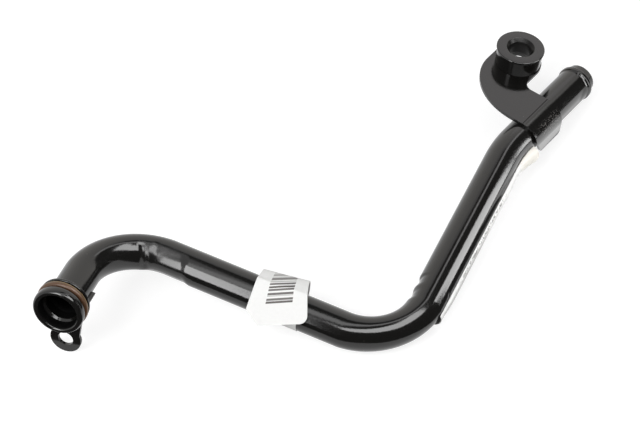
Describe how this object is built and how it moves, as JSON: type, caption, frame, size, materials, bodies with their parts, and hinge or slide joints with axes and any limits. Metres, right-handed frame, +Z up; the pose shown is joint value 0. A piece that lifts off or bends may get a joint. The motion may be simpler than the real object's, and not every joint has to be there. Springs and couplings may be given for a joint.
{
  "type": "coolant pipe",
  "caption": "Bent steel coolant pipe with an O-ring spigot at one end, a beaded hose end at the other, and two brackets that hold it to an engine.",
  "frame": {"origin": "on the floor under the middle of the outline, with the pipe lying as it comes to rest", "axes": "+Y towards the hose end along the long run, +X from the spigot towards the long run's side, +Z up"},
  "size_m": [0.1694, 0.244, 0.0436],
  "materials": {
    "tube_paint": "gloss black paint on steel tube",
    "seal_rubber": "satin brown elastomer",
    "eyelet_paint": "gloss black paint on steel sheet",
    "saddle_paint": "gloss black paint on steel sheet",
    "boss_paint": "gloss black paint on turned steel",
    "wrap_paper": "matt white label paper",
    "strip_paper": "matt white label paper"
  },
  "bodies": {
    "root": {"pipe_tube": "tube_paint", "o_ring": "seal_rubber", "eyelet_bracket": "eyelet_paint", "saddle_bracket": "saddle_paint", "bolt_boss": "boss_paint", "wrap_label": "wrap_paper", "strip_label": "strip_paper"}
  },
  "joints": []
}
